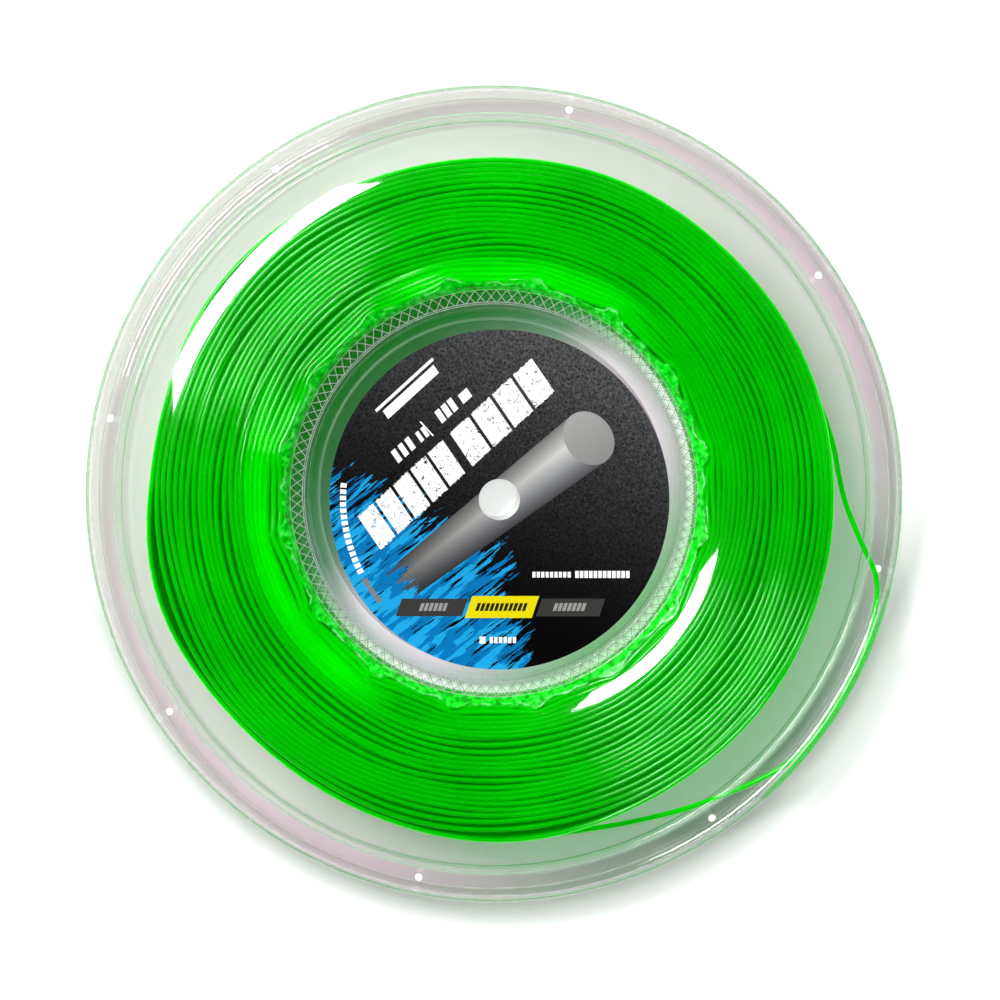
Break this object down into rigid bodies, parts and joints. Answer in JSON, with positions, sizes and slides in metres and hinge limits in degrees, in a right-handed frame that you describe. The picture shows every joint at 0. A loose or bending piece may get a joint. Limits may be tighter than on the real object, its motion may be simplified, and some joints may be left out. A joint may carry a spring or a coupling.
{
  "type": "tennis string reel",
  "caption": "Clear flanged plastic reel filled with wound green monofilament racket string, with a slack loop inside the rim and a round label in the hub well.",
  "frame": {"origin": "centre of the circle the reel rests on, under its axis", "axes": "+Z along the reel's axis, out of the labelled front; +X and +Y in the plane of the flanges"},
  "size_m": [0.1854, 0.1854, 0.03],
  "materials": {
    "clear_plastic": "polished clear sheet with a knurled ledge",
    "core_plastic": "clear, ribbed outside",
    "string": "glossy monofilament",
    "label": "printed sticker with a fine leather grain"
  },
  "bodies": {
    "root": {"front_half": "clear_plastic", "rear_half": "clear_plastic", "core_ring": "core_plastic", "string_winding": "string", "string_loose_loop": "string", "front_label": "label"}
  },
  "joints": []
}
